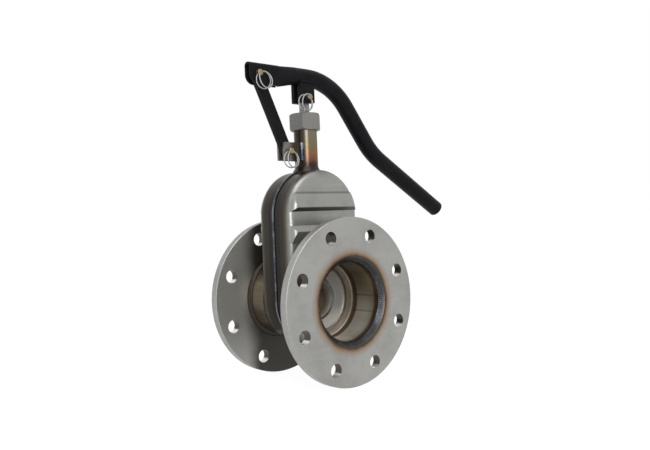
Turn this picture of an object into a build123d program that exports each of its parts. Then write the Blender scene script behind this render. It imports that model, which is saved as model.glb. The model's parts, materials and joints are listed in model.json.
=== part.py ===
from build123d import *
import math
import os

# Lever-operated gate valve with two pipe flanges, in millimetres.
# +Z runs up the stem and the flow runs along Y. Every piece is drawn about the centre of
# the closed gate, and save() moves it so that the origin is the centre of the front
# flange's sealing face.

# Pipe flanges
face_to_face = 166.0
flange_diameter = 220.0
flange_thickness = 12.0
flange_edge_break = 0.8
bolt_edge = 20.0
bolt_count = 8
bolt_hole = 18.0

# Port tubes and their welds
tube_diameter = 108.0
tube_wall = 2.5
tube_slip = 0.5
tube_set_back = 8.0
bevel = 5.5
bead_hollow = 1.0
bore_bead_hollow = 0.3
fillet_weld = 5.0
port_weld = 5.0

# Pressed body
body_side_gap = 5.0
body_depth = 67.0
body_wall = 3.0
body_edge = 9.0
crown_margin = 12.0
rib_height = 5.5
rib_edge = 10.5
rib_inset = 2.5
rib_round = 3.0
upper_rib_top = 30.0
upper_rib_crest = 10.5
upper_rib_foot = 5.5
lower_rib_top = -13.0
lower_rib_crest = -21.0
lower_rib_foot = -36.0
seam_width = 4.4
seam_height = 1.9
seam_round = 1.5

# Gate and seats
gate_stroke = 102.0
gate_overlap = 5.0
gate_thickness = 36.0
gate_lip = 9.0
dish_step = 1.6
dish_cone = 5.0
dish_band = 14.0
dish_bowl = 4.0
carrier_thickness = 8.0
carrier_band = 19.0
carrier_boss_width = 20.0
carrier_boss_depth = 16.0
carrier_boss_rise = 12.0
disc_back_gap = 3.2
spring_bore = 20.0
spring_diameter = 44.0
spring_sheet = 1.0
seat_step = 3.5
seat_depth = 10.0
seat_gap = 0.1
liner_wall = 2.5
liner_lip = 4.5
liner_lip_depth = 3.5

# Neck, packing and stem
neck_diameter = 32.0
neck_wall = 3.0
neck_length = 66.0
neck_seat = 3.5
neck_weld_leg = 3.5
neck_weld_rise = 5.5
stem_diameter = 14.0
stem_fit = 0.05
bush_length = 24.0
packing_ring = 5.0
packing_count = 4
follower_collar = 4.0
follower_collar_lip = 2.0
nut_flats = 39.0
nut_length = 23.0
nut_turn = 42.4
nut_roof = 7.0
nut_grip = 10.5
nut_chamfer = 2.4
nut_thread_gap = 0.05
stem_hole_gap = 1.0
stem_eye_width = 16.0
stem_eye_thickness = 7.0
stem_pin_rise = 22.5
stem_root = 11.0
cross_pin_diameter = 5.0
cross_pin_rise = 6.0

# Link and its bracket
bracket_reach = 34.5
bracket_rise = 26.0
bracket_plate = 3.5
bracket_gap = 8.5
bracket_height = 24.0
bracket_overhang = 9.5
bracket_corner = 1.5
bracket_bead = 3.5
link_width = 16.0
link_thickness = 6.0

# Lever
lever_diameter = 24.0
lever_wall = 2.5
lever_rise = 28.0
lever_first_run = 50.5
lever_middle_run = 125.3
lever_last_run = 168.2
lever_first_bend = 53.1
lever_second_bend = -22.4
lever_first_radius = 90.0
lever_second_radius = 105.0
lever_cap_thickness = 3.0
fork_width = 12.5
fork_gap = 7.0
fork_height = 28.0
fork_roof = 3.0
fork_corner = 12.0
fork_round = 5.0
fork_dip = 1.0
fork_pin_edge = 13.0
fork_pin_drop = 3.0
fork_room = 34.5
fork_taper = 25.0
arm_per_stroke = 0.78
lug_plate = 5.5
lug_gap = 8.0
lug_left = 14.0
lug_right = 11.5
lug_drop = 8.0
lug_corner = 1.5
lug_bead = 2.0

# Clevis pins and split rings
pin_diameter = 8.0
pin_fit = 0.05
pin_head = 13.0
pin_head_height = 2.5
pin_play = 0.3
notch_play = 1.2
pin_tail = 5.4
pin_chamfer = 0.8
ring_diameter = 24.0
ring_wire = 1.8
ring_hole = 3.6
ring_stand_off = 2.6
lever_ring_turn = -55.0
stem_ring_turn = -128.0
bracket_ring_turn = -90.0

# Sizes worked out from the ones above
flow_end = face_to_face / 2
flange_back = flow_end - flange_thickness
tube_radius = tube_diameter / 2
tube_bore = tube_radius - tube_wall
flange_bore = tube_radius + tube_slip
bolt_circle = flange_diameter - 2 * bolt_edge
seat_radius = tube_bore - seat_step
gate_radius = seat_radius + gate_overlap
body_half = gate_radius + body_side_gap + body_wall
body_face = body_depth / 2
crown_height = gate_stroke + crown_margin
crown_top = crown_height + body_half
gate_face = gate_thickness / 2
seat_face = gate_face + seat_gap
seat_back = gate_face + seat_depth
liner_radius = seat_radius + liner_wall
neck_radius = neck_diameter / 2
neck_bore = neck_radius - neck_wall
neck_bottom = crown_top - neck_seat
neck_top = crown_top + neck_length
stem_radius = stem_diameter / 2
running_bore = stem_radius + stem_fit
bush_top = neck_bottom + bush_length
packing_top = bush_top + packing_count * packing_ring
nut_bottom = neck_top - nut_grip
nut_top = nut_bottom + nut_length
nut_ceiling = nut_top - nut_roof
stem_pin_height = nut_top + stem_pin_rise
bracket_pin_height = crown_top + bracket_rise
bracket_face = bracket_gap / 2 + bracket_plate
lever_height = stem_pin_height + lever_rise
lug_face = lug_gap / 2 + lug_plate
fork_face = fork_width / 2
fork_pin_x = -gate_stroke * arm_per_stroke
fork_pin_height = lever_height - fork_pin_drop
fork_inner = fork_pin_x + fork_room
taper_end = fork_inner + fork_taper
pin_radius = pin_diameter / 2
ring_radius = (ring_diameter - ring_wire) / 2
stem_bottom = gate_radius + carrier_boss_rise - stem_root


def turned_y(points):
    """A ring turned about the flow axis from a closed outline of (radius, y) points."""
    return revolve(make_face(Polyline(*points, close=True)), Axis.Y)


def turned_z(points):
    """A ring turned about the stem axis from a closed outline of (radius, z) points."""
    return revolve(Plane.XZ * make_face(Polyline(*points, close=True)), Axis.Z)


def plate_y(sketch, thickness, y=0.0):
    """A flat plate drawn in X and Z, with its middle at the given Y."""
    return Pos(0, y, 0) * extrude(Plane.XZ * sketch, amount=thickness / 2, both=True)


def rod_y(radius, x, z, y_from, y_to):
    """A plain rod along Y."""
    middle = Pos(x, (y_from + y_to) / 2, z)
    return middle * Rot(90, 0, 0) * Cylinder(radius, abs(y_to - y_from))


def to_rear(front):
    """The mirrored piece on the other side of the gate."""
    return mirror(front, about=Plane.XZ)


# Flanges, port tubes and pipe welds

def flange():
    """Plate flange with a weld bevel round its bore, on the front side."""
    edge = flange_diameter / 2
    plate = turned_y([
        (flange_bore + bevel, -flow_end),
        (edge - flange_edge_break, -flow_end),
        (edge, -flow_end + flange_edge_break),
        (edge, -flange_back - flange_edge_break),
        (edge - flange_edge_break, -flange_back),
        (flange_bore, -flange_back),
        (flange_bore, -flow_end + tube_set_back),
    ])
    hole = rod_y(bolt_hole / 2, 0, 0, -flow_end - flange_thickness, -flange_back + flange_thickness)
    for index in range(bolt_count):
        angle = math.radians((index + 0.5) * 360 / bolt_count)
        plate -= Pos(bolt_circle / 2 * math.cos(angle), 0, bolt_circle / 2 * math.sin(angle)) * hole
    return plate


def port_tube():
    """Straight tube from just behind the flange face to the seat ring."""
    return turned_y([
        (tube_bore, -flow_end + tube_set_back),
        (tube_radius, -flow_end + tube_set_back),
        (tube_radius, -seat_back),
        (tube_bore, -seat_back),
    ])


def flange_weld():
    """Slightly hollow bead between the tube's end and the flange's bevel."""
    tube_end = -flow_end + tube_set_back
    inner = Line((tube_bore, tube_end), (flange_bore, tube_end))
    slope = Line((flange_bore, tube_end), (flange_bore + bevel, -flow_end))
    middle_y = -flow_end + tube_set_back / 2 + bore_bead_hollow
    middle = ((tube_bore + flange_bore + bevel) / 2 + bore_bead_hollow, middle_y)
    crown = ThreePointArc((flange_bore + bevel, -flow_end), middle, (tube_bore, tube_end))
    return revolve(make_face(inner + slope + crown), Axis.Y)


def back_weld():
    """Fillet weld where the tube leaves the back of the flange."""
    foot = (tube_radius + fillet_weld, -flange_back)
    tip = (tube_radius, -flange_back + fillet_weld)
    dip = fillet_weld / 2 - bead_hollow
    outline = Line((tube_radius, -flange_back), foot)
    outline += ThreePointArc(foot, (tube_radius + dip, -flange_back + dip), tip)
    outline += Line(tip, (tube_radius, -flange_back))
    return revolve(make_face(outline), Axis.Y)


# Pressed body

def outline(half_width):
    """Straight sides between a round bottom about the bore and a round crown."""
    slot = SlotCenterToCenter(crown_height, 2 * half_width, rotation=90)
    return Pos(0, crown_height / 2) * slot


def pressed_block(half_width, depth, edge):
    """Half body from the seam forward, with its face edge rounded."""
    block = extrude(Plane.XZ * outline(half_width), amount=depth)
    rim = block.faces().sort_by(Axis.Y)[0].edges()
    return fillet(rim, edge)


def rib_prism(top, crest, foot, inward):
    """Cross rib with a sloping top and underside; heights are from the crown's centre."""
    base = -body_face + inward
    profile = make_face(Polyline(
        (0, crown_height + top),
        (base, crown_height + top),
        (base - rib_height, crown_height + crest),
        (base, crown_height + foot),
        (0, crown_height + foot),
        close=True,
    ))
    tip = profile.vertices().sort_by(Axis.X)[0]
    profile = fillet(tip, rib_round)
    return extrude(Plane.YZ * profile, amount=body_half, both=True)


def ribbed_block(inward):
    """Half body with both ribs; inward is the sheet's thickness for the inside form."""
    half = body_half - inward
    block = pressed_block(half, body_face - inward, body_edge - inward)
    stock = pressed_block(half - rib_inset, body_face + rib_height - inward, rib_edge - inward)
    for top, crest, foot in (
        (upper_rib_top, upper_rib_crest, upper_rib_foot),
        (lower_rib_top, lower_rib_crest, lower_rib_foot),
    ):
        block += stock & rib_prism(top, crest, foot, inward)
    return block


def body_shell(outer):
    """Front pressed half, open at the seam, the port and the neck."""
    shell = outer - ribbed_block(body_wall)
    shell -= rod_y(tube_radius, 0, 0, -body_depth, -gate_face)
    shell -= Pos(0, 0, crown_top) * Cylinder(neck_radius, 2 * body_half)
    return shell


def seam_weld():
    """Raised bead round the joint of the two halves, broken at the neck."""
    bead = plate_y(outline(body_half + seam_height), seam_width)
    bead = fillet(bead.faces().filter_by(Axis.Y).edges(), seam_round)
    bead -= plate_y(outline(body_half), 2 * seam_width)
    return bead - Pos(0, 0, crown_top) * Cylinder(neck_radius + neck_weld_leg, 2 * body_half)


def port_weld_bead(outer):
    """Bead where the tube enters the body, cut to the body's surface."""
    bead = turned_y([
        (tube_radius, -body_face - port_weld),
        (tube_radius + port_weld / 3, -body_face - port_weld / 3 * 2),
        (tube_radius + port_weld, -body_face),
        (tube_radius + port_weld, -body_face + body_edge),
        (tube_radius, -body_face + body_edge),
    ])
    return bead - outer


# Seats and gate

def seat_ring():
    """Steel ring that backs the liner and carries the end of the tube."""
    return turned_y([
        (liner_radius, -seat_back),
        (tube_radius, -seat_back),
        (tube_radius, -seat_face - seat_gap),
        (liner_radius + liner_lip - liner_wall, -seat_face - seat_gap),
        (liner_radius + liner_lip - liner_wall, -seat_face - liner_lip_depth),
        (liner_radius, -seat_face - liner_lip_depth),
    ])


def seat_liner():
    """Polymer seat: a sleeve in the ring with a lip that seals on the gate."""
    return turned_y([
        (seat_radius, -seat_back),
        (liner_radius, -seat_back),
        (liner_radius, -seat_face - liner_lip_depth),
        (liner_radius + liner_lip - liner_wall, -seat_face - liner_lip_depth),
        (liner_radius + liner_lip - liner_wall, -seat_face),
        (seat_radius, -seat_face),
    ])


def gate_disc():
    """Dished disc with a flat sealing lip and a stepped bowl on its wet side."""
    edge = gate_radius
    lip = edge - gate_lip
    eye = lip - dish_band
    back = carrier_thickness / 2
    hub = edge - carrier_band - disc_back_gap
    step_y = -gate_face + dish_step
    cone_y = step_y + dish_cone
    bowl_y = cone_y + dish_bowl
    hub_back = -disc_back_gap / 2
    return turned_y([
        (0, bowl_y),
        (eye * 0.6, bowl_y),
        (eye - dish_bowl / 2, cone_y + dish_bowl * 0.6),
        (eye, cone_y),
        (lip - dish_step, step_y),
        (lip, -gate_face),
        (edge, -gate_face),
        (edge, -back),
        (hub, -back),
        (hub - disc_back_gap, hub_back),
        (0, hub_back),
    ])


def gate_carrier():
    """Ring plate between the discs, with a boss that takes the stem."""
    edge = gate_radius
    plate = plate_y(Circle(edge) - Circle(edge - carrier_band), carrier_thickness)
    boss_low = edge - carrier_thickness / 2
    boss_high = gate_radius + carrier_boss_rise
    boss_middle = (boss_low + boss_high) / 2
    neck = Pos(0, 0, boss_middle) * Box(carrier_boss_width, carrier_thickness, boss_high - boss_low)
    head_low = gate_radius + pin_play
    head_middle = (head_low + boss_high) / 2
    head = Pos(0, 0, head_middle) * Box(carrier_boss_width, carrier_boss_depth, boss_high - head_low)
    carrier = plate + neck + head
    carrier -= Pos(0, 0, stem_bottom) * Cylinder(
        stem_radius, 2 * stem_root, align=(Align.CENTER, Align.CENTER, Align.MIN))
    return carrier - cross_pin()


def cross_pin():
    """Pin through the boss and the foot of the stem."""
    reach = carrier_boss_depth / 2
    return rod_y(cross_pin_diameter / 2, 0, gate_radius + cross_pin_rise, -reach, reach)


def gate_spring():
    """Coned disc spring that presses the two gate discs apart."""
    half = disc_back_gap / 2
    return turned_y([
        (spring_bore / 2, -half),
        (spring_bore / 2, -half + spring_sheet),
        (spring_diameter / 2, half),
        (spring_diameter / 2, half - spring_sheet),
    ])


# Neck, packing and stem

def neck_tube():
    """Tube that carries the packing, set into the top of the body."""
    return turned_z([
        (neck_bore, neck_bottom),
        (neck_radius, neck_bottom),
        (neck_radius, neck_top),
        (neck_bore, neck_top),
    ])


def neck_weld(body):
    """Fillet weld round the foot of the neck, cut to the crown of the body."""
    bead = turned_z([
        (neck_radius, crown_top - body_half / 4),
        (neck_radius + neck_weld_leg, crown_top - body_half / 4),
        (neck_radius + neck_weld_leg, crown_top - neck_weld_leg / 4),
        (neck_radius + neck_weld_leg / 3, crown_top + neck_weld_rise / 2),
        (neck_radius, crown_top + neck_weld_rise),
    ])
    return bead - body


def stem_bush():
    """Guide bush at the foot of the neck."""
    return turned_z([
        (running_bore, neck_bottom),
        (neck_bore, neck_bottom),
        (neck_bore, bush_top),
        (running_bore, bush_top),
    ])


def packing():
    """Stack of packing rings round the stem."""
    rings = []
    for index in range(packing_count):
        low = bush_top + index * packing_ring
        rings.append(turned_z([
            (running_bore, low),
            (neck_bore, low),
            (neck_bore, low + packing_ring),
            (running_bore, low + packing_ring),
        ]))
    return Compound(children=rings)


def gland_follower():
    """Sleeve that the nut presses on the packing."""
    return turned_z([
        (running_bore, packing_top),
        (neck_bore, packing_top),
        (neck_bore, nut_ceiling - follower_collar),
        (neck_bore + follower_collar_lip, nut_ceiling - follower_collar),
        (neck_bore + follower_collar_lip, nut_ceiling),
        (running_bore, nut_ceiling),
    ])


def gland_nut():
    """Hexagon nut with turned ends, over the neck."""
    corner = nut_flats / math.sqrt(3)
    flat = nut_flats / 2
    blank = extrude(Plane.XY.offset(nut_bottom) * RegularPolygon(
        flat, 6, major_radius=False, rotation=nut_turn), amount=nut_length)
    blank &= turned_z([
        (0, nut_bottom),
        (flat, nut_bottom),
        (corner, nut_bottom + nut_chamfer),
        (corner, nut_top - nut_chamfer),
        (flat, nut_top),
        (0, nut_top),
    ])
    cavity = turned_z([
        (0, nut_bottom - nut_chamfer),
        (neck_radius + nut_thread_gap, nut_bottom - nut_chamfer),
        (neck_radius + nut_thread_gap, nut_ceiling),
        (stem_radius + stem_hole_gap, nut_ceiling),
        (stem_radius + stem_hole_gap, nut_top + nut_chamfer),
        (0, nut_top + nut_chamfer),
    ])
    return blank - cavity


def stem():
    """Polished rod with a flat eye for the lever at its top."""
    lug_sweep = math.hypot(max(lug_left, lug_right), lug_drop) + pin_play
    flat_low = stem_pin_height - lug_sweep
    rod = Pos(0, 0, stem_bottom) * Cylinder(
        stem_radius, stem_pin_height - stem_bottom, align=(Align.CENTER, Align.CENTER, Align.MIN))
    rod -= Pos(0, 0, flat_low) * (
        Box(2 * stem_diameter, 2 * stem_diameter, 2 * lug_sweep, align=(Align.CENTER, Align.CENTER, Align.MIN))
        - Box(2 * stem_diameter, stem_eye_thickness, 2 * lug_sweep, align=(Align.CENTER, Align.CENTER, Align.MIN)))
    rod += plate_y(Pos(0, stem_pin_height) * Circle(stem_eye_width / 2), stem_eye_thickness)
    rod -= rod_y(pin_radius + pin_fit, 0, stem_pin_height, -stem_diameter, stem_diameter)
    return rod - cross_pin()


# Link, bracket and the motion that joins them to the lever

def fork_pin_at(raised):
    """Where the lever's fork pin stands, in X and Z, when the stem is raised."""
    arm = math.hypot(fork_pin_x, fork_pin_height - stem_pin_height)
    link = math.hypot(fork_pin_x + bracket_reach, fork_pin_height - bracket_pin_height)
    across = bracket_reach
    up = stem_pin_height + raised - bracket_pin_height
    span = math.hypot(across, up)
    along = (link ** 2 - arm ** 2 + span ** 2) / (2 * span)
    aside = math.sqrt(link ** 2 - along ** 2)
    x = -bracket_reach + (along * across - aside * up) / span
    z = bracket_pin_height + (along * up + aside * across) / span
    return x, z


def lever_angle(raised):
    """Direction of the arm from the stem pin to the fork pin, in radians."""
    x, z = fork_pin_at(raised)
    return math.atan2(z - stem_pin_height - raised, x) % (2 * math.pi)


def link_angle(raised):
    """Direction of the link from the bracket pin to the fork pin, in radians."""
    x, z = fork_pin_at(raised)
    return math.atan2(z - bracket_pin_height, x + bracket_reach)


def link_bar():
    """Flat bar whose top eye is open to one side, along the fork pin's path over it."""
    length = math.hypot(fork_pin_x + bracket_reach, fork_pin_height - bracket_pin_height)
    start = link_angle(0)
    bar = Pos(length / 2, 0) * SlotCenterToCenter(length, link_width)
    bar -= Circle(pin_radius + pin_fit)
    arm = math.hypot(fork_pin_x, fork_pin_height - stem_pin_height)
    steps = 4
    edges = (Pos(length, 0) * Circle(pin_radius + pin_play)).edges()
    for index in range(1, steps):
        part = index / steps
        turn = lever_angle(0) + part * (lever_angle(gate_stroke) - lever_angle(0))
        swing = start + part * (link_angle(gate_stroke) - start)
        x = arm * math.cos(turn) + bracket_reach
        z = arm * math.sin(turn) + stem_pin_height + part * gate_stroke - bracket_pin_height
        along = x * math.cos(swing) + z * math.sin(swing)
        aside = z * math.cos(swing) - x * math.sin(swing)
        edges += (Pos(along, aside) * Circle(pin_radius + notch_play)).edges()
    bar -= make_hull(edges)
    bar = Pos(-bracket_reach, bracket_pin_height) * Rot(0, 0, math.degrees(start)) * bar
    return plate_y(bar, link_thickness)


def bracket_plates():
    """Two cheek plates on the neck that hold the foot of the link."""
    outer = bracket_reach + bracket_overhang
    cheek = Pos(-outer / 2, bracket_pin_height) * Rectangle(outer, bracket_height)
    cheek = fillet(cheek.vertices().group_by(Axis.X)[0], bracket_corner)
    cheek -= Pos(-bracket_reach, bracket_pin_height) * Circle(pin_radius + pin_fit)
    sides = []
    for side in (-1, 1):
        plate = plate_y(cheek, bracket_plate, side * (bracket_face - bracket_plate / 2))
        plate -= Pos(0, 0, bracket_pin_height) * Cylinder(neck_radius, 2 * bracket_height)
        sides.append(plate.solids().sort_by(Axis.X)[0])
    return Compound(children=sides)


def bracket_weld(plates):
    """Upright beads where the outer faces of the cheeks meet the neck."""
    x = -math.sqrt(neck_radius ** 2 - bracket_face ** 2)
    beads = []
    for side in (-1, 1):
        bead = Pos(x, side * bracket_face, bracket_pin_height) * Cylinder(bracket_bead, bracket_height)
        bead -= Pos(0, 0, bracket_pin_height) * Cylinder(neck_radius, 2 * bracket_height)
        beads.append(bead - plates)
    return Compound(children=beads)


# Lever

def lever_corners():
    """The lever's bent line, from the end of the taper to its tip."""
    first = math.radians(lever_first_bend)
    second = math.radians(lever_first_bend + lever_second_bend)
    corner_a = Vector(lever_first_run, 0, lever_height)
    corner_b = corner_a + lever_middle_run * Vector(math.cos(first), 0, -math.sin(first))
    tip = corner_b + lever_last_run * Vector(math.cos(second), 0, -math.sin(second))
    return Vector(taper_end, 0, lever_height), corner_a, corner_b, tip


def lever_rod(radius):
    """Solid rod of the given radius along the lever's bent line."""
    path = FilletPolyline(*lever_corners(), radius=[lever_first_radius, lever_second_radius])
    start = Plane(origin=(taper_end, 0, lever_height), x_dir=(0, 1, 0), z_dir=(1, 0, 0))
    return sweep(start * Circle(radius), path=path)


def lever_cap():
    """Plug that closes the lever's free end, flush with the tube."""
    before, tip = lever_corners()[-2:]
    inward = Plane(origin=tip, x_dir=(0, 1, 0), z_dir=before - tip)
    return extrude(inward * Circle(lever_diameter / 2 - lever_wall), amount=lever_cap_thickness)


def lever_tube():
    """Bent tube whose short end is pressed flat into a fork, open below and at its end."""
    radius = lever_diameter / 2
    tube = lever_rod(radius) - lever_rod(radius - lever_wall)
    fork_end = fork_pin_x - fork_pin_edge
    fork_top = lever_height + radius - fork_dip
    start = Plane(origin=(taper_end, 0, lever_height), x_dir=(0, 1, 0), z_dir=(1, 0, 0))
    flat_middle = Plane(
        origin=(fork_inner, 0, fork_top - fork_height / 2), x_dir=(0, 1, 0), z_dir=(1, 0, 0))
    inner_height = fork_height - 2 * fork_roof
    solid_taper = loft([
        flat_middle * Ellipse(fork_face, fork_height / 2),
        start * Circle(radius),
    ])
    hollow_taper = loft([
        flat_middle * Ellipse(fork_gap / 2, inner_height / 2),
        start * Circle(radius - lever_wall),
    ])
    side = make_face(Polyline(
        (fork_end, fork_top),
        (fork_inner, fork_top),
        (fork_inner, fork_top - fork_height),
        (fork_end, fork_top - fork_height),
        close=True,
    ))
    side = fillet(side.vertices().group_by(Axis.X)[0].sort_by(Axis.Y)[0], fork_corner)
    fork = plate_y(side, fork_width)
    fork = fillet(fork.edges().filter_by(Axis.X).group_by(Axis.Z)[-1], fork_round)
    slot_length = fork_inner - fork_end
    slot = Pos((fork_end + fork_inner) / 2, 0, fork_top - fork_roof - fork_height / 2) * Box(
        slot_length, fork_gap, fork_height)
    fork -= slot
    lever = tube + (solid_taper - hollow_taper) + fork
    return lever - rod_y(pin_radius, fork_pin_x, fork_pin_height, -fork_width, fork_width)


def lever_lugs(tube):
    """Two lugs under the tube that straddle the eye of the stem."""
    low = stem_pin_height - lug_drop
    high = lever_height
    cheek = Pos((lug_right - lug_left) / 2, (low + high) / 2) * Rectangle(lug_left + lug_right, high - low)
    cheek = fillet(cheek.vertices().group_by(Axis.Y)[0], lug_corner)
    cheek -= Pos(0, stem_pin_height) * Circle(pin_radius)
    sides = []
    for side in (-1, 1):
        plate = plate_y(cheek, lug_plate, side * (lug_face - lug_plate / 2))
        sides.append((plate - tube).solids().sort_by(Axis.Z)[0])
    return Compound(children=sides)


def lug_weld(lugs, tube):
    """Beads along the outer faces of the lugs, under the tube."""
    radius = lever_diameter / 2
    z = lever_height - math.sqrt(radius ** 2 - lug_face ** 2)
    x = (lug_right - lug_left) / 2
    beads = []
    for side in (-1, 1):
        bead = Pos(x, side * lug_face, z) * Rot(0, 90, 0) * Cylinder(lug_bead, lug_left + lug_right)
        beads.append(bead - tube - lugs)
    return Compound(children=beads)


# Clevis pins and split rings

def clevis_pin(x, z, face, ring_turn):
    """Pin along Y with a head at the rear and a cross hole in its tail for a ring."""
    head_y = face + pin_play
    tail_y = face + pin_tail
    pin = rod_y(pin_radius, x, z, -tail_y, head_y)
    pin = chamfer(pin.faces().sort_by(Axis.Y)[0].edges(), pin_chamfer)
    pin += rod_y(pin_head / 2, x, z, head_y, head_y + pin_head_height)
    hole = Cylinder(ring_hole / 2, pin_diameter * 2)
    return pin - Pos(x, -face - ring_stand_off, z) * Rot(0, -ring_turn, 0) * hole


def split_ring(x, z, face, ring_turn):
    """Ring through the pin's cross hole, hanging in the given direction."""
    turn = math.radians(ring_turn)
    middle = Pos(
        x + ring_radius * math.cos(turn),
        -face - ring_stand_off,
        z + ring_radius * math.sin(turn),
    )
    return middle * Rot(90, 0, 0) * Torus(ring_radius, ring_wire / 2)


def save(name, shape):
    """Writes one piece, moved so that the front flange's face is the origin."""
    export_step(Pos(0, flow_end, 0) * shape, f"parts/{name}.step")


def main():
    os.makedirs("parts", exist_ok=True)
    outer = ribbed_block(0)
    body = outer + to_rear(outer)
    cheeks = bracket_plates()
    rod = lever_rod(lever_diameter / 2)
    lugs = lever_lugs(rod)

    fronts = {
        "flange": flange(),
        "port_tube": port_tube(),
        "flange_weld": flange_weld(),
        "back_weld": back_weld(),
        "body_shell": body_shell(outer),
        "port_weld": port_weld_bead(outer),
        "seat_ring": seat_ring(),
        "seat_liner": seat_liner(),
        "gate_disc": gate_disc(),
    }
    for name, shape in fronts.items():
        save(f"front_{name}", shape)
        save(f"rear_{name}", to_rear(shape))

    save("seam_weld", seam_weld())
    save("gate_carrier", gate_carrier())
    save("gate_spring", gate_spring())
    save("cross_pin", cross_pin())
    save("neck_tube", neck_tube())
    save("neck_weld", neck_weld(body))
    save("stem_bush", stem_bush())
    save("packing_rings", packing())
    save("gland_follower", gland_follower())
    save("gland_nut", gland_nut())
    save("stem", stem())
    save("link_bracket", cheeks)
    save("bracket_weld", bracket_weld(cheeks))
    save("link_bar", link_bar())
    save("lever_tube", lever_tube())
    save("lever_cap", lever_cap())
    save("lever_lugs", lugs)
    save("lug_weld", lug_weld(lugs, rod))

    joints = {
        "lever": (fork_pin_x, fork_pin_height, fork_face, lever_ring_turn),
        "stem": (0, stem_pin_height, lug_face, stem_ring_turn),
        "bracket": (-bracket_reach, bracket_pin_height, bracket_face, bracket_ring_turn),
    }
    for name, place in joints.items():
        save(f"{name}_pin", clevis_pin(*place))
        save(f"{name}_ring", split_ring(*place))

    print("lever turn", round(math.degrees(lever_angle(0) - lever_angle(gate_stroke)), 3))
    print("link turn", round(math.degrees(link_angle(0) - link_angle(gate_stroke)), 3))


main()
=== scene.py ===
import json
import math

import bmesh
import bpy
from mathutils import Matrix, Vector


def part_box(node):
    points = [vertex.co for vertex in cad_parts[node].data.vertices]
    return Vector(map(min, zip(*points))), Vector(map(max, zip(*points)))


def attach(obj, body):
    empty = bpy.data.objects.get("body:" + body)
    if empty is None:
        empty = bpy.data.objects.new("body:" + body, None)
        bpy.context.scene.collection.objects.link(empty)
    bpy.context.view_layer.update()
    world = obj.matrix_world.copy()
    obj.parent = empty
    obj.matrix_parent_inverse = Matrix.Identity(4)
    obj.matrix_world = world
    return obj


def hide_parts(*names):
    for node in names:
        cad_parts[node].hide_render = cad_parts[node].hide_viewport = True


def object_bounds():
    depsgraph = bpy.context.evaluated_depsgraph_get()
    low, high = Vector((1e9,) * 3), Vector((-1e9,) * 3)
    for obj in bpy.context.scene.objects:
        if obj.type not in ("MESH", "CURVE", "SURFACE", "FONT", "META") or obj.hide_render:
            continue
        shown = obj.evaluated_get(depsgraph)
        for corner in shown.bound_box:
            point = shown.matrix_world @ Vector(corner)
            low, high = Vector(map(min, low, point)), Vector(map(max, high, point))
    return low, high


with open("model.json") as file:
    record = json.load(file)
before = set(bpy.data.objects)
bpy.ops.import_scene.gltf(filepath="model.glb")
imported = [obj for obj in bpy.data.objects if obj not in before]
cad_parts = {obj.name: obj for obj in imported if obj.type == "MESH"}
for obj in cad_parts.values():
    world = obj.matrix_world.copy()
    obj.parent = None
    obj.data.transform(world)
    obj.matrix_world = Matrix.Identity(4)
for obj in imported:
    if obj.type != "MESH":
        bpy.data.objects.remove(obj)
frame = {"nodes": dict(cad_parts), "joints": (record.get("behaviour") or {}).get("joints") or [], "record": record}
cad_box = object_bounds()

# Lever-operated gate valve. Lengths are metres in the row frame: +Z runs up the stem, the flow
# runs along Y, and the origin is the centre of the front flange's face.

MM = 0.001

# Height of the upper rib's top over the centre of the crown's curve
RIB_TOP = 30 * MM

# Turning marks, as waves in radians per metre
FLANGE_MARKS = 9000.0
DISC_MARKS = 7000.0
DISC_GROOVES = 1500.0

# Places read from the frame

flange_low, flange_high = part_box("front_flange")
shell_low, shell_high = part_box("front_body_shell")
tube_low, tube_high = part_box("front_port_tube")
port_weld_low, port_weld_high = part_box("front_port_weld")
neck_low, neck_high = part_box("neck_tube")
bracket_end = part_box("link_bracket")[0].x
mid_y = (flange_low.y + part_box("rear_flange")[1].y) / 2
flow_end = mid_y - flange_low.y
flange_back = flow_end - (flange_high.y - flange_low.y)
flange_radius = (flange_high.x - flange_low.x) / 2
tube_radius = (tube_high.x - tube_low.x) / 2
neck_radius = (neck_high.x - neck_low.x) / 2
body_half = (shell_high.x - shell_low.x) / 2
port_weld_leg = port_weld_high.x - tube_radius
body_face = mid_y - port_weld_low.y - port_weld_leg
crown_z = shell_high.z
crown_centre = crown_z - body_half

# Colours, in linear light

STEEL = (0.322, 0.320, 0.308)
STEEL_STAIN = (0.235, 0.232, 0.218)
STEEL_SHINE = (0.40, 0.40, 0.385)
BACK_STEEL = (0.345, 0.343, 0.320)
# Painted shadow on the flanges' back faces
FLANGE_BACK_SHADOW = (0.050, 0.046, 0.039)
HOLE_DARK = (0.075, 0.066, 0.054)
# Painted highlight on the lower walls of the bolt holes
HOLE_PAINTED_GLINT = (0.85, 0.84, 0.80)
STRAW = (0.25, 0.19, 0.125)
TAN = (0.185, 0.112, 0.061)
BROWN = (0.075, 0.042, 0.026)
# Painted shade in the groove at the seam
SEAM_SHADE = (0.010, 0.009, 0.009)
WELD_GREY = (0.026, 0.028, 0.032)
WELD_BROWN = (0.024, 0.020, 0.018)
WELD_TOE = (0.075, 0.056, 0.042)
WELD_BEHIND = (0.030, 0.023, 0.018)
BLUE_GREY = (0.042, 0.047, 0.053)
SILVER_BLUE = (0.11, 0.125, 0.14)
PALE_BLUE = (0.17, 0.19, 0.21)
HEAT_BLUE = (0.045, 0.060, 0.080)
NIGHT_BLUE = (0.015, 0.018, 0.026)
SEAM_CREST = (0.16, 0.163, 0.18)
SEAM_DULL = (0.045, 0.044, 0.046)
TUBE_GOLD = (0.30, 0.22, 0.12)
TUBE_STREAK = (0.42, 0.38, 0.30)
TUBE_LINE = (0.06, 0.05, 0.04)
SHEET = (0.280, 0.280, 0.266)
SHEET_STAIN = (0.20, 0.198, 0.182)
SHEET_SHINE = (0.36, 0.36, 0.345)
SHEET_STREAK = (0.022, 0.018, 0.015)
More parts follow.
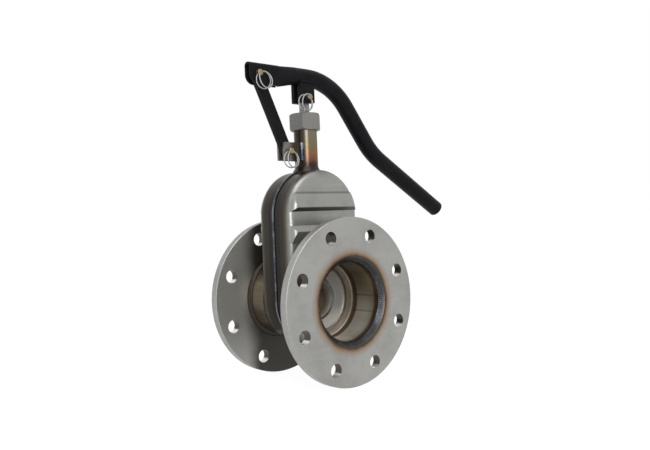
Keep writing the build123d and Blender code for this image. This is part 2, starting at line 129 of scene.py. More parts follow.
SHEET_CREASE_SHADE = (0.05, 0.048, 0.044)
SHEET_UNDERSIDE_SHADE = (0.035, 0.033, 0.030)
SHEET_BURNT = (0.05, 0.036, 0.026)
GATE_GROOVE = (0.045, 0.043, 0.038)
GATE_PAINTED_LIGHT = (0.42, 0.40, 0.36)
GATE_HUB_SHADE = (0.075, 0.048, 0.030)
GROUND_STEEL = (0.24, 0.24, 0.24)
NECK_SHADE = (0.025, 0.018, 0.013)
BRACKET_STEEL = (0.15, 0.145, 0.13)
BRACKET_BURNT = (0.040, 0.026, 0.018)
BLACK_PAINT = (0.0042, 0.0044, 0.0052)
BLACK_WORN = (0.0062, 0.0064, 0.0072)
GOLD = (0.30, 0.23, 0.115)
GOLD_DULL = (0.25, 0.21, 0.14)
CREAM = (0.22, 0.185, 0.140)
CREAM_WORN = (0.17, 0.135, 0.10)
CREAM_LIT = (0.46, 0.40, 0.32)


# Node-based material helpers

class Shades:
    """One material's node tree with short ways to add its nodes."""

    def __init__(self, name):
        self.material = bpy.data.materials.new(name)
        self.material.use_nodes = True
        self.nodes = self.material.node_tree.nodes
        self.links = self.material.node_tree.links
        self.bsdf = self.nodes["Principled BSDF"]
        self.coords = self.nodes.new("ShaderNodeTexCoord")

    def set(self, name, value):
        """Gives one of the shader's own sockets a plain value."""
        self.bsdf.inputs[name].default_value = value

    def link(self, output, name):
        """Feeds one of the shader's own sockets from an output."""
        self.links.new(output, self.bsdf.inputs[name])

    def noise(self, scale, detail=4.0, rough=0.55, stretch=(1, 1, 1)):
        """Soft noise over the object's coordinates, which are scaled by axis."""
        place = self.nodes.new("ShaderNodeMapping")
        place.inputs["Scale"].default_value = stretch
        self.links.new(self.coords.outputs["Object"], place.inputs["Vector"])
        node = self.nodes.new("ShaderNodeTexNoise")
        node.inputs["Scale"].default_value = scale
        node.inputs["Detail"].default_value = detail
        node.inputs["Roughness"].default_value = rough
        self.links.new(place.outputs["Vector"], node.inputs["Vector"])
        return node.outputs["Fac"]

    def part_of(self, vector, name):
        """One component of a coordinate output, X, Y or Z."""
        node = self.nodes.new("ShaderNodeSeparateXYZ")
        self.links.new(self.coords.outputs[vector], node.inputs["Vector"])
        return node.outputs[name]

    def axis(self, name):
        """One coordinate of the place."""
        return self.part_of("Object", name)

    def facing(self, name):
        """One component of the surface's own normal."""
        return self.part_of("Normal", name)

    def maths(self, kind, a, b=None):
        """A Math node; each input is a number or an output."""
        node = self.nodes.new("ShaderNodeMath")
        node.operation = kind
        for socket, value in zip(node.inputs, (a, b)):
            if value is None:
                continue
            if isinstance(value, (int, float)):
                socket.default_value = value
            else:
                self.links.new(value, socket)
        return node.outputs[0]

    def ramp(self, value, low, high, out_low=0.0, out_high=1.0):
        """Smoothly maps a range of one value to another range."""
        node = self.nodes.new("ShaderNodeMapRange")
        node.interpolation_type = "SMOOTHSTEP"
        node.inputs["From Min"].default_value = low
        node.inputs["From Max"].default_value = high
        node.inputs["To Min"].default_value = out_low
        node.inputs["To Max"].default_value = out_high
        self.links.new(value, node.inputs["Value"])
        return node.outputs["Result"]

    def colours(self, value, stops):
        """A colour ramp of (position, colour) stops."""
        node = self.nodes.new("ShaderNodeValToRGB")
        ramp = node.color_ramp
        for index, (position, colour) in enumerate(stops):
            element = ramp.elements[index] if index < 2 else ramp.elements.new(position)
            element.position = position
            element.color = (*colour, 1)
        self.links.new(value, node.inputs["Fac"])
        return node.outputs["Color"]

    def mix(self, factor, a, b):
        """Mixes two colours; each is a triple or an output."""
        node = self.nodes.new("ShaderNodeMix")
        node.data_type = "RGBA"
        self.links.new(factor, node.inputs["Factor"])
        for socket, value in ((node.inputs[6], a), (node.inputs[7], b)):
            if isinstance(value, tuple):
                socket.default_value = (*value, 1)
            else:
                self.links.new(value, socket)
        return node.outputs[2]

    def bump(self, height, strength, distance=0.2 * MM):
        """Fine relief that follows a height."""
        node = self.nodes.new("ShaderNodeBump")
        node.inputs["Strength"].default_value = strength
        node.inputs["Distance"].default_value = distance
        self.links.new(height, node.inputs["Height"])
        self.link(node.outputs["Normal"], "Normal")

    def rough(self, scale, low, high):
        """Roughness that wanders between two values."""
        self.link(self.ramp(self.noise(scale), 0.3, 0.7, low, high), "Roughness")

    def away(self, value, place):
        """Distance of one coordinate from a place on its axis."""
        return self.maths("ABSOLUTE", self.maths("SUBTRACT", value, place))

    def length(self, a, b):
        """Length of the vector with these two components."""
        squares = [self.maths("MULTIPLY", side, side) for side in (a, b)]
        return self.maths("SQRT", self.maths("ADD", *squares))

    def radius_y(self):
        """Distance from the flow axis."""
        return self.length(self.axis("X"), self.axis("Z"))

    def from_seam(self):
        """Distance from the plane where the two body halves meet."""
        return self.away(self.axis("Y"), mid_y)

    def clouded(self, value, amount, scale):
        """A value pushed about by soft noise, so that its edges wander."""
        push = self.maths("MULTIPLY", self.maths("SUBTRACT", self.noise(scale, 3.0), 0.5), amount)
        return self.maths("ADD", value, push)


def grain(s, base, scale=900.0, amount=0.12):
    """Fine mottling of a steel surface."""
    light = tuple(c * (1 + amount) for c in base)
    dark = tuple(c * (1 - amount) for c in base)
    dull = tuple(c * 0.75 for c in base)
    tone = s.mix(s.ramp(s.noise(scale, 3.0), 0.35, 0.65), dark, light)
    return s.mix(s.ramp(s.noise(28.0, 3.0), 0.35, 0.7, 0.0, 0.14), tone, dull)


def stained(s, base, stain_and_shade, shine, scale, level, shine_share, squeeze):
    """Dull stains and faint pale grinding lines over a base."""
    stains = s.noise(scale, 6.0, 0.66)
    base = s.mix(s.ramp(stains, level, level + 0.28, 0.0, 0.55), base, stain_and_shade)
    lines = s.noise(scale + 8.0, 4.0, 0.6, (squeeze, 1, 7))
    return s.mix(s.ramp(lines, level + 0.12, level + 0.32, 0.0, shine_share), base, shine)


# Materials

def flange_steel():
    """Rolled plate with turned faces, tinted by the weld round its bore; painted shadow on its back face and
    painted highlights in its bolt holes.
    """
    s = Shades("flange_plate")
    face = stained(s, grain(s, STEEL), STEEL_STAIN, STEEL_SHINE, 14.0, 0.40, 0.22, 0.5)
    radius = s.clouded(s.radius_y(), 5 * MM, 38.0)
    weld_edge = tube_radius + 5 * MM
    for start, end, share, tint in (
        (3.0, 14.0, 0.85, STRAW),
        (2.0, 7.0, 0.85, TAN),
        (0.5, 4.0, 0.90, BROWN),
    ):
        face = s.mix(s.ramp(radius, weld_edge + start * MM, weld_edge + end * MM, share, 0.0), face, tint)
    # Painted shadow: the faces toward the body are dark near the middle, where the body shades them, and plain
    # steel further out.
    sideways = s.clouded(s.maths("ABSOLUTE", s.axis("X")), 20 * MM, 20.0)
    back = s.mix(s.ramp(sideways, 38 * MM, 66 * MM), FLANGE_BACK_SHADOW, BACK_STEEL)
    inward = s.maths("MULTIPLY", s.maths("SUBTRACT", mid_y, s.axis("Y")), s.facing("Y"))
    plate = s.mix(s.ramp(inward, 0.02, 0.04), face, back)
    # Bolt-hole walls: dark, with a painted highlight on their upward-facing lower part.
    upright = s.ramp(s.maths("ABSOLUTE", s.facing("Y")), 0.2, 0.4, 1.0, 0.0)
    inside_rim = s.ramp(s.radius_y(), flange_radius - 6 * MM, flange_radius - 4 * MM, 1.0, 0.0)
    upward = s.clouded(s.facing("Z"), 0.4, 200.0)
    hole = s.mix(s.ramp(upward, 0.40, 0.70), HOLE_DARK, HOLE_PAINTED_GLINT)
    s.link(s.mix(s.maths("MULTIPLY", upright, inside_rim), plate, hole), "Base Color")
    s.set("Metallic", 0.72)
    s.rough(300.0, 0.34, 0.46)
    lathe = s.maths("SINE", s.maths("MULTIPLY", s.radius_y(), FLANGE_MARKS))
    s.bump(s.maths("ADD", s.maths("MULTIPLY", lathe, 0.25), s.noise(1400.0, 2.0)), 0.08)
    return s.material


def weld_steel():
    """Grey-blue bead with pale patches, brown at its toe and behind the flanges."""
    s = Shades("weld_bead")
    bead = s.colours(s.noise(70.0, 4.0), [
        (0.30, WELD_BROWN),
        (0.48, WELD_GREY),
        (0.62, BLUE_GREY),
        (0.76, SILVER_BLUE),
    ])
    radius = s.radius_y()
    toe = s.maths("MULTIPLY", s.ramp(radius, tube_radius + 2 * MM, tube_radius + 5 * MM),
                  s.ramp(radius, tube_radius + 8 * MM, tube_radius + 12 * MM, 0.85, 0.0))
    bead = s.mix(toe, bead, WELD_TOE)
    behind = s.ramp(s.from_seam(), flange_back - 1.0 * MM, flange_back + 0.5 * MM, 0.85, 0.0)
    s.link(s.mix(behind, bead, WELD_BEHIND), "Base Color")
    s.set("Metallic", 0.8)
    s.rough(500.0, 0.26, 0.40)
    s.bump(s.noise(900.0, 2.0), 0.12)
    return s.material


def tube_steel():
    """Drawn tube, browned by the welds at both ends and streaked along its length; its bore carries painted light,
    near white at the bottom and dark at the top.
    """
    s = Shades("port_tube")
    streaks = s.noise(60.0, 4.0, stretch=(1, 0.10, 1))
    outside = s.colours(streaks, [
        (0.3, (0.10, 0.082, 0.052)),
        (0.5, (0.16, 0.138, 0.094)),
        (0.7, (0.25, 0.225, 0.17)),
    ])
    # Painted light in the bore: near white at the bottom, where light falls, darkening towards the top.
    inside = s.colours(s.ramp(s.axis("Z"), -50 * MM, 40 * MM), [
        (0.0, (1.0, 0.97, 0.86)),
        (0.28, (0.98, 0.94, 0.82)),
        (0.53, (0.62, 0.57, 0.46)),
        (0.80, (0.29, 0.25, 0.17)),
        (1.0, (0.14, 0.12, 0.085)),
    ])
    inside = s.mix(s.ramp(streaks, 0.35, 0.65, 0.0, 0.22), inside, TUBE_STREAK)
    for height, share in ((2 * MM, 0.45), (-19 * MM, 0.35)):
        line = s.away(s.axis("Z"), height)
        inside = s.mix(s.ramp(line, 0.3 * MM, 1.5 * MM, share, 0.0), inside, TUBE_LINE)
    wall = s.ramp(s.radius_y(), tube_radius - 1.6 * MM, tube_radius - 1.0 * MM)
    base = s.mix(wall, inside, outside)
    along = s.clouded(s.from_seam(), 3 * MM, 60.0)
    base = s.mix(s.ramp(along, flow_end - 30 * MM, flow_end - 12 * MM, 0.0, 0.55), base, TUBE_GOLD)
    base = s.mix(s.ramp(along, flow_end - 17 * MM, flow_end - 11 * MM, 0.0, 0.88), base, BROWN)
    from_body = s.away(along, body_face - 2.5 * MM)
    base = s.mix(s.ramp(from_body, 3 * MM, 7 * MM, 0.9, 0.0), base, BROWN)
    s.link(base, "Base Color")
    s.set("Metallic", 0.85)
    s.rough(300.0, 0.28, 0.42)
    s.bump(s.noise(700.0, 3.0, stretch=(1, 0.05, 1)), 0.05)
    return s.material


def pressed_steel():
    """Pressed sheet: grey faces; sides browned and streaked by the seam weld and darkened with painted shade;
    painted shade in the upper rib's crease and under the ribs.
    """
    s = Shades("pressed_sheet")
    face = stained(s, grain(s, SHEET, 700.0, 0.06), SHEET_STAIN, SHEET_SHINE, 18.0, 0.42, 0.4, 0.4)
    from_seam = s.clouded(s.from_seam(), 1.5 * MM, 40.0)
    # Sides: brown heat tint from the seam weld, darkened with painted shade, near black beside the seam where the
    # groove is shaded.
    side = s.colours(s.ramp(from_seam, 0.0, body_face - 3.5 * MM), [
        (0.0, SEAM_SHADE),
        (0.28, SEAM_SHADE),
        (0.42, (0.034, 0.019, 0.011)),
        (0.60, (0.028, 0.019, 0.011)),
        (0.78, (0.036, 0.030, 0.019)),
        (0.97, (0.105, 0.097, 0.078)),
    ])
    streaks = s.noise(30.0, 5.0, stretch=(1, 4.0, 0.22))
    side = s.mix(s.ramp(streaks, 0.42, 0.68, 0.0, 0.5), side, SHEET_STREAK)
    on_side = s.ramp(from_seam, body_face - 9.5 * MM, body_face - 1.5 * MM, 1.0, 0.0)
    sheet = s.mix(on_side, face, side)
    # Painted shade along the crease at the upper rib's top.
    crease = s.away(s.axis("Z"), crown_centre + RIB_TOP)
    crease = s.maths("MULTIPLY", s.ramp(crease, 0.4 * MM, 2.4 * MM, 0.55, 0.0),
                     s.ramp(from_seam, body_face - 2.0 * MM, body_face - 0.5 * MM))
    sheet = s.mix(crease, sheet, SHEET_CREASE_SHADE)
    # Painted shade on the downward-facing undersides of the ribs.
    under = s.maths("MULTIPLY", s.ramp(s.facing("Z"), -0.60, -0.35, 0.85, 0.0),
                    s.ramp(s.axis("Z"), crown_centre - 45 * MM, crown_centre - 40 * MM))
    sheet = s.mix(under, sheet, SHEET_UNDERSIDE_SHADE)
    from_neck = s.length(s.axis("X"), s.maths("SUBTRACT", s.axis("Y"), mid_y))
    from_neck = s.clouded(from_neck, 3 * MM, 60.0)
    burnt = s.maths("MULTIPLY", s.ramp(from_neck, neck_radius + 7 * MM, neck_radius + 22 * MM, 0.85, 0.0),
                    s.ramp(s.axis("Z"), crown_z - 14 * MM, crown_z - 6 * MM))
    s.link(s.mix(burnt, sheet, SHEET_BURNT), "Base Color")
    s.set("Metallic", 0.72)
    s.rough(60.0, 0.30, 0.38)
    return s.material


def plain_steel(name, base, rough=0.35, amount=0.1, metal=0.8):
    """Metal of one tone with fine mottling."""
    s = Shades(name)
    s.link(grain(s, base, 800.0, amount), "Base Color")
    s.set("Metallic", metal)
    s.rough(260.0, rough - 0.06, rough + 0.08)
    s.bump(s.noise(1200.0, 2.0), 0.04)
    return s.material


def gate_steel():
    """Dished disc: a dark hub of painted shade and reflection, browner toward its bottom, a paler bowl with
    painted light below, and a bright outer land.
    """
    s = Shades("gate_disc")
    radius = s.clouded(s.radius_y(), 1.5 * MM, 60.0)
    # The dark stops at the hub are painted shade and reflection of the recess.
    disc = s.colours(s.ramp(radius, 0.0, tube_radius + 1 * MM), [
        (0.0, (0.040, 0.028, 0.020)),
        (0.22, (0.024, 0.018, 0.013)),
        (0.36, (0.060, 0.052, 0.043)),
        (0.56, (0.13, 0.132, 0.128)),
        (0.74, (0.13, 0.128, 0.12)),
        (0.9, (0.155, 0.145, 0.127)),
    ])
    wavering = s.clouded(s.radius_y(), 1.0 * MM, 30.0)
    turned = s.maths("SINE", s.maths("MULTIPLY", wavering, DISC_GROOVES))
    disc = s.mix(s.ramp(turned, 0.2, 1.0, 0.0, 0.28), disc, GATE_GROOVE)
    # Painted light: the lower part of the bowl is paler, where light falls.
    lit_below = s.maths("MULTIPLY", s.ramp(s.axis("Z"), -38 * MM, -8 * MM, 0.8, 0.0),
                    s.ramp(radius, 24 * MM, 32 * MM))
    disc = s.mix(lit_below, disc, GATE_PAINTED_LIGHT)
    # Painted shade: the hub is browner toward its bottom.
    stain_and_shade = s.maths("MULTIPLY", s.ramp(s.axis("Z"), -24 * MM, -4 * MM, 0.6, 0.0),
                    s.ramp(radius, 12 * MM, 18 * MM, 1.0, 0.0))
    s.link(s.mix(stain_and_shade, disc, GATE_HUB_SHADE), "Base Color")
    s.set("Metallic", 0.85)
    s.rough(300.0, 0.30, 0.42)
    s.bump(s.maths("SINE", s.maths("MULTIPLY", s.radius_y(), DISC_MARKS)), 0.04)
    return s.material


def neck_steel():
    """Neck tube with straw, brown and blue heat bands round its welds, and painted shade on its -X side."""
    s = Shades("neck_tube")
    up = s.clouded(s.axis("Z"), 8 * MM, 60.0)
    bands = s.colours(s.ramp(up, crown_z, crown_z + 60 * MM), [
        (0.0, (0.020, 0.022, 0.026)),
        (0.07, (0.050, 0.032, 0.026)),
        (0.16, (0.16, 0.075, 0.048)),
        (0.34, (0.20, 0.115, 0.055)),
        (0.62, (0.17, 0.135, 0.078)),
        (0.9, (0.17, 0.15, 0.11)),
    ])
    # Painted shade on the neck's -X side.
    beside = s.ramp(s.axis("X"), -neck_radius, -neck_radius * 0.2, 0.92, 0.0)
    s.link(s.mix(beside, bands, NECK_SHADE), "Base Color")
    s.set("Metallic", 0.9)
    s.set("Roughness", 0.26)
    return s.material


def ground_rod():
    """Stem and cross pin: smooth ground steel."""
    s = Shades("stem_rod")
    s.link(grain(s, GROUND_STEEL, 800.0, 0.05), "Base Color")
    s.set("Metallic", 0.9)
    s.rough(260.0, 0.40, 0.48)
    return s.material


def bracket_steel():
    """Bracket plates: grey, stained brown toward the weld at the neck."""
    s = Shades("bracket_plate")
    toward = s.clouded(s.axis("X"), 8 * MM, 90.0)
    burnt = s.ramp(toward, bracket_end + 7 * MM, bracket_end + 17 * MM)
    s.link(s.mix(burnt, grain(s, BRACKET_STEEL, 500.0, 0.2), BRACKET_BURNT), "Base Color")
    s.set("Metallic", 0.75)
    s.rough(260.0, 0.3, 0.45)
    s.bump(s.noise(900.0, 2.0), 0.06)
    return s.material


def bracket_bead():
    """Bracket weld: patches of pale and deep heat blue."""
    s = Shades("bracket_bead")
    patches = s.colours(s.noise(120.0, 4.0), [
        (0.36, NIGHT_BLUE),
        (0.50, HEAT_BLUE),
        (0.66, PALE_BLUE),
    ])
    s.link(patches, "Base Color")
    s.set("Metallic", 0.8)
    s.rough(500.0, 0.25, 0.4)
    s.bump(s.noise(700.0, 2.0), 0.12, 0.25 * MM)
    return s.material


def seam_bead():
    """Seam weld, pale blue-grey in patches on its crest and dark at its edges with painted shade."""
    s = Shades("seam_bead")
    crest = s.mix(s.ramp(s.noise(90.0, 5.0), 0.36, 0.62, 0.0, 0.85), SEAM_CREST, SEAM_DULL)
    # Painted shade at the bead's edges, where it meets the shells.
    s.link(s.mix(s.ramp(s.from_seam(), 0.9 * MM, 2.0 * MM), crest, SEAM_SHADE), "Base Color")
    s.set("Metallic", 0.85)
    s.rough(400.0, 0.24, 0.36)
    s.bump(s.noise(700.0, 2.0), 0.08)
    return s.material


def black_paint():
    """Satin black powder coat with a fine orange-peel skin."""
    s = Shades("black_coat")
    s.link(s.mix(s.ramp(s.noise(60.0), 0.35, 0.7), BLACK_PAINT, BLACK_WORN), "Base Color")
    s.rough(240.0, 0.40, 0.52)
    s.set("Specular IOR Level", 0.08)
    s.bump(s.noise(1000.0, 2.0), 0.10, 0.25 * MM)
    return s.material


def zinc_plate():
    """Yellow zinc plate."""
    s = Shades("yellow_zinc")
    s.link(s.mix(s.ramp(s.noise(260.0), 0.35, 0.65), GOLD, GOLD_DULL), "Base Color")
    s.set("Metallic", 0.8)
    s.set("Roughness", 0.40)
    s.bump(s.noise(900.0, 2.0), 0.05)
    return s.material


def polymer():
    """Cream seat liner, with painted light that makes it paler toward its bottom."""
    s = Shades("seat_polymer")
    worn = s.mix(s.ramp(s.noise(120.0), 0.35, 0.7), CREAM, CREAM_WORN)
    # Painted light: paler toward the bottom, where light falls.
    s.link(s.mix(s.ramp(s.axis("Z"), -46 * MM, -14 * MM, 0.85, 0.0), worn, CREAM_LIT), "Base Color")
    s.set("Roughness", 0.5)
    s.bump(s.noise(900.0, 2.0), 0.04)
    return s.material


MATERIALS = {
    "flange_steel": flange_steel(),
    "tube_steel": tube_steel(),
    "weld": weld_steel(),
    "pressed_steel": pressed_steel(),
    "seat_steel": plain_steel("seat_ring", (0.125, 0.105, 0.082)),
    "seat_polymer": polymer(),
    "gate_steel": gate_steel(),
    "spring_steel": plain_steel("spring", (0.2, 0.2, 0.21)),
    "bronze": plain_steel("bush_bronze", (0.42, 0.26, 0.11)),
    "packing": plain_steel("packing_cord", (0.03, 0.03, 0.03), rough=0.6, metal=0.0),
    "neck_steel": neck_steel(),
    "nut_steel": plain_steel("gland_nut", (0.140, 0.138, 0.130), rough=0.46, metal=0.25),
    "stem_steel": ground_rod(),
    "bracket_steel": bracket_steel(),
    "black_steel": black_paint(),
    "yellow_zinc": zinc_plate(),
    "ring_steel": plain_steel("ring_wire", (0.34, 0.34, 0.34), rough=0.45, amount=0.03, metal=0.6),
}


def paint(obj, material):
    """Gives an object one material in all its slots."""
    obj.data.materials.clear()
    obj.data.materials.append(material)


for part in frame["record"]["subparts"]:
    paint(frame["nodes"][part["node"]], MATERIALS[part["material_slot"]])

paint(frame["nodes"]["bracket_weld"], bracket_bead())


# Split rings: two turns of wire that lie together in the pin and spread on the far side

RING_WIRE = 1.6 * MM
RING_SPREAD = 6.5 * MM
RING_STEPS = 48
RING_CROSSING = 4
INNER_TURN_LIFT = 0.1


def split_ring(name):
    """A double-turn ring in place of the plain one of the frame, on the body of the same name. The
    outer turn stands off most a quarter of the way round from the pin."""
    low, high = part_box(name)
    middle = (low + high) / 2
    radius = (high.x - low.x - (high.y - low.y)) / 2
    pivot = next(Vector(joint["pos_m"]) for joint in frame["joints"] if joint["child"] == name)
    start = math.atan2(pivot.z - middle.z, pivot.x - middle.x)
    curve = bpy.data.curves.new(name + "_wire", "CURVE")
    curve.dimensions = "3D"
    curve.bevel_depth = RING_WIRE / 2
    curve.bevel_resolution = 4
    curve.use_fill_caps = True
    line = curve.splines.new("POLY")
    count = RING_STEPS * 2
    line.points.add(count)
    for index in range(count + 1):
        lap = 2 * index / count
        side = math.tanh((1 - lap) * RING_CROSSING) * RING_WIRE / 2
        along = lap % 1 if lap < 2 else 1
        spread = RING_SPREAD * math.sin(math.pi * math.sqrt(along)) ** 2
        lift = -spread if lap >= 1 else spread * INNER_TURN_LIFT
        angle = start + lap * 2 * math.pi
        line.points[index].co = (
            middle.x + radius * math.cos(angle),
            middle.y + side + lift,
            middle.z + radius * math.sin(angle),
            1,
        )
    ring = bpy.data.objects.new(name + "_turns", curve)
    bpy.context.scene.collection.objects.link(ring)
    paint(ring, MATERIALS["ring_steel"])
    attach(ring, name)
    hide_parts(name)


for ring_name in ("lever_ring", "stem_ring", "bracket_ring"):
    split_ring(ring_name)


# Welds: beads of overlapping ripples in place of the plain ones of the frame

TUBE_WALL = 2.5 * MM
TUBE_SLIP = 0.5 * MM
RIPPLE_PITCH = 2.6 * MM
RIPPLE_DEPTH = 0.40 * MM
RIPPLE_STEPS = 5
RIPPLE_CURVE = 0.4
RIPPLE_SHARPNESS = 0.7
RIPPLE_SHARE = 0.7
WANDER_SHORT = 9 * MM
WANDER_LONG = 23 * MM
BORE_POINTS = 9
FILLET_POINTS = 7
SEAM_POINTS = 9
BEAD_CROWN = 0.35 * MM
SEAM_SUNK = 0.4 * MM


def ripple(travel, across):
    """How far the bead's surface is drawn in: sharp valleys that curve back from the bead's middle,
    and a slow wander of its height."""
    phase = travel / RIPPLE_PITCH + RIPPLE_CURVE * across * across
    valley = 1 - abs(math.sin(math.pi * phase)) ** RIPPLE_SHARPNESS
    wander = (2 + math.sin(travel / WANDER_SHORT) + math.sin(travel / WANDER_LONG + 1)) / 4
    depth = RIPPLE_SHARE * valley + (1 - RIPPLE_SHARE) * wander
    return RIPPLE_DEPTH * depth * (1 - across * across)


def bead(name, rows, closed, material):
    """Skins rows of points, one loop of a section each, into one closed mesh in place of a CAD node."""
    width = len(rows[0])
    points = [point for row in rows for point in row]
    faces = []
    for row in range(len(rows) if closed else len(rows) - 1):
        here = row * width
        there = (row + 1) % len(rows) * width
        for index in range(width):
            beside = (index + 1) % width
            faces.append((here + index, here + beside, there + beside, there + index))
    if not closed:
        faces.append(tuple(reversed(range(width))))
        faces.append(tuple(range(len(points) - width, len(points))))
    mesh = bpy.data.meshes.new(name + "_bead")
    mesh.from_pydata(points, [], faces)
    work = bmesh.new()
    work.from_mesh(mesh)
    bmesh.ops.recalc_face_normals(work, faces=work.faces)
    work.to_mesh(mesh)
    work.free()
    mesh.shade_smooth()
    piece = bpy.data.objects.new(name + "_rippled", mesh)
    bpy.context.scene.collection.objects.link(piece)
    paint(piece, material)
    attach(piece, "valve_body")
    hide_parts(name)


def ring_bead(name, start, end, corner, section_points):
    """Bead round the flow axis; the surface runs from start to end, and all are (radius, y)."""
    along = Vector(end) - Vector(start)
    outward = Vector((-along.y, along.x)).normalized()
    if outward.dot(Vector(start) - Vector(corner)) < 0:
        outward = -outward
    radius = (start[0] + end[0]) / 2
    count = round(2 * math.pi * radius / RIPPLE_PITCH) * RIPPLE_STEPS
    rows = []
    for index in range(count):
        angle = 2 * math.pi * index / count
        travel = index * RIPPLE_PITCH / RIPPLE_STEPS
        row = [Vector(corner)]
        for step in range(section_points):
            across = 2 * step / (section_points - 1) - 1
            rise = BEAD_CROWN * (1 - across * across) - ripple(travel, across)
            row.append(Vector(start) + along * (across + 1) / 2 + outward * rise)
        rows.append([(spot.x * math.cos(angle), spot.y, spot.x * math.sin(angle)) for spot in row])
    bead(name, rows, True, MATERIALS["weld"])


def flange_beads(side):
    """The weld in the bore of one flange and the fillet behind it."""
    low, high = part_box(side + "_flange_weld")
    outer, inner = (low.y, high.y) if side == "front" else (high.y, low.y)
    bore = (tube_radius + TUBE_SLIP, inner)
    ring_bead(side + "_flange_weld", (high.x, outer), (tube_radius - TUBE_WALL, inner), bore, BORE_POINTS)
    low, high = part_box(side + "_back_weld")
    foot, tip = (low.y, high.y) if side == "front" else (high.y, low.y)
    ring_bead(side + "_back_weld", (high.x, foot), (tube_radius, tip), (tube_radius, foot), FILLET_POINTS)


def seam_track(radius):
    """Travel, height and outward direction round the body's outline, from one side of the neck to
    the other: crown, straight side, round bottom, straight side and crown again."""
    low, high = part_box("neck_weld")
    start = math.asin((high.x - low.x) / 2 / radius)
    arc = (math.pi / 2 - start) * radius
    straight = crown_centre
    length = 2 * arc + 2 * straight + math.pi * radius
    count = round(length / RIPPLE_PITCH) * RIPPLE_STEPS
    for index in range(count + 1):
        travel = length * index / count
        on_side = travel - arc
        on_bottom = on_side - straight
        on_return = on_bottom - math.pi * radius
        if on_side < 0:
            angle = math.pi / 2 - start - travel / radius
            height = crown_centre
        elif on_bottom < 0:
            angle = 0
            height = crown_centre - on_side
        elif on_return < 0:
            angle = -on_bottom / radius
            height = 0
        elif on_return < straight:
            angle = -math.pi
            height = on_return
        else:
            angle = -math.pi - (on_return - straight) / radius
            height = crown_centre
        yield travel, height, Vector((math.cos(angle), 0, math.sin(angle)))


def seam_weld():
    """The raised bead along the joint of the two pressed halves."""
    low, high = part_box("seam_weld")
    half_width = (high.y - low.y) / 2
    rise = high.x - body_half + SEAM_SUNK
    rows = []
    for travel, height, outward in seam_track(body_half):
        row = []
        for step in range(SEAM_POINTS):
            across = 2 * step / (SEAM_POINTS - 1) - 1
            crown = rise * (1 - across * across) ** 0.5 - ripple(travel, across)
            reach = body_half - SEAM_SUNK + crown
            row.append(tuple(outward * reach + Vector((0, mid_y + across * half_width, height))))
        rows.append(row)
    bead("seam_weld", rows, False, seam_bead())


flange_beads("front")
flange_beads("rear")
seam_weld()


# Floor, light and camera

def seen_by(tree, *rays):
    """1 to the named kinds of ray, and 0 to the rest."""
    path = tree.nodes.new("ShaderNodeLightPath")
    seen = path.outputs[rays[0]]
    for ray in rays[1:]:
        either = tree.nodes.new("ShaderNodeMath")
        either.operation = "MAXIMUM"
        tree.links.new(seen, either.inputs[0])
        tree.links.new(path.outputs[ray], either.inputs[1])
        seen = either.outputs[0]
    return seen


def floor():
    """A wide pale floor under the flanges that stays white to the camera and in reflections."""
    low = cad_box[0].z
    half = 8.0
    corners = [(-half, -half, low), (half, -half, low), (half, half, low), (-half, half, low)]
    mesh = bpy.data.meshes.new("floor")
    mesh.from_pydata(corners, [], [(0, 1, 2, 3)])
    ground = bpy.data.objects.new("floor", mesh)
    bpy.context.scene.collection.objects.link(ground)
    material = bpy.data.materials.new("floor_white")
    material.use_nodes = True
    tree = material.node_tree
    tree.nodes.clear()
    diffuse = tree.nodes.new("ShaderNodeBsdfDiffuse")
    diffuse.inputs["Color"].default_value = (0.9, 0.9, 0.9, 1)
    glow = tree.nodes.new("ShaderNodeEmission")
    glow.inputs["Color"].default_value = (1, 1, 1, 1)
    glow.inputs["Strength"].default_value = 1.1
    glow_share = tree.nodes.new("ShaderNodeMath")
    glow_share.operation = "MULTIPLY"
    glow_share.inputs[1].default_value = 0.85
    tree.links.new(seen_by(tree, "Is Camera Ray", "Is Glossy Ray"), glow_share.inputs[0])
    mixed = tree.nodes.new("ShaderNodeMixShader")
    tree.links.new(glow_share.outputs[0], mixed.inputs["Fac"])
    tree.links.new(diffuse.outputs[0], mixed.inputs[1])
    tree.links.new(glow.outputs[0], mixed.inputs[2])
    tree.links.new(mixed.outputs[0], tree.nodes.new("ShaderNodeOutputMaterial").inputs["Surface"])
    ground.data.materials.append(material)


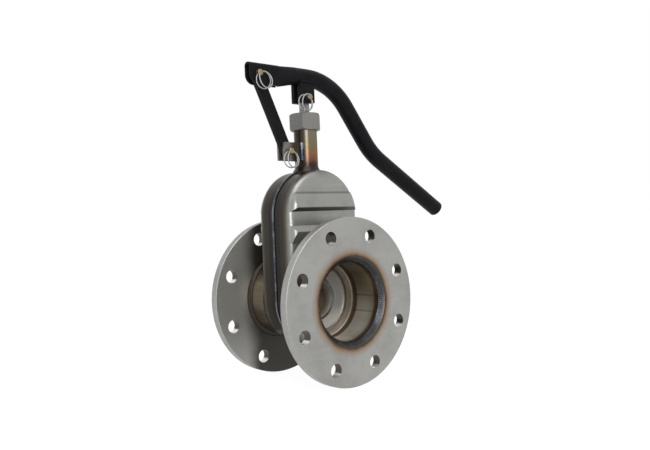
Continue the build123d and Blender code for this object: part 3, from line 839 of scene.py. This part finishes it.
def backdrop():
    """White world for the camera and for reflections, and a softer one that lights the object."""
    world = bpy.data.worlds.new("studio")
    bpy.context.scene.world = world
    world.use_nodes = True
    tree = world.node_tree
    tree.nodes.clear()
    white = tree.nodes.new("ShaderNodeBackground")
    white.inputs["Color"].default_value = (1, 1, 1, 1)
    soft = tree.nodes.new("ShaderNodeBackground")
    soft.inputs["Color"].default_value = (1, 1, 1, 1)
    soft.inputs["Strength"].default_value = 0.7
    mixed = tree.nodes.new("ShaderNodeMixShader")
    seen = seen_by(tree, "Is Camera Ray", "Is Transmission Ray", "Is Glossy Ray")
    tree.links.new(seen, mixed.inputs["Fac"])
    tree.links.new(soft.outputs[0], mixed.inputs[1])
    tree.links.new(white.outputs[0], mixed.inputs[2])
    tree.links.new(mixed.outputs[0], tree.nodes.new("ShaderNodeOutputWorld").inputs["Surface"])


def lamp(name, place, target, size, power):
    """A rectangular soft box aimed at a point."""
    light = bpy.data.lights.new(name, "AREA")
    light.shape = "RECTANGLE"
    light.size, light.size_y = size
    light.energy = power
    obj = bpy.data.objects.new(name, light)
    obj.location = place
    obj.rotation_euler = (Vector(target) - Vector(place)).to_track_quat("-Z", "Y").to_euler()
    bpy.context.scene.collection.objects.link(obj)


def camera():
    """The photograph's viewpoint, as fitted to the front flange and its bolt circle."""
    place = Vector((-0.611, -0.6487, 0.1083))
    yaw = math.radians(-41.18)
    pitch = math.radians(0.49)
    roll = math.radians(-2.38)
    back = Vector((math.sin(yaw) * math.cos(pitch), -math.cos(yaw) * math.cos(pitch), math.sin(pitch)))
    right = Vector((math.cos(yaw), math.sin(yaw), 0))
    up = back.cross(right)
    rolled_right = right * math.cos(roll) + up * math.sin(roll)
    rolled_up = up * math.cos(roll) - right * math.sin(roll)
    turn = Matrix((rolled_right, rolled_up, back)).transposed().to_4x4()
    data = bpy.data.cameras.new("camera")
    data.lens = 38.29
    data.sensor_width = 36
    data.sensor_fit = "HORIZONTAL"
    data.clip_start = 0.01
    view = bpy.data.objects.new("camera", data)
    view.matrix_world = Matrix.Translation(place) @ turn
    bpy.context.scene.collection.objects.link(view)
    bpy.context.scene.camera = view


floor()
backdrop()
lamp("key", place=(-0.6, -0.9, 2.5), target=(0, mid_y, 0.1), size=(1.8, 1.8), power=26)
lamp("front", place=(-1.12, -1.80, 0.45), target=(0, mid_y, 0.15), size=(0.9, 1.3), power=24)
camera()
bpy.context.scene.view_settings.view_transform = "Standard"
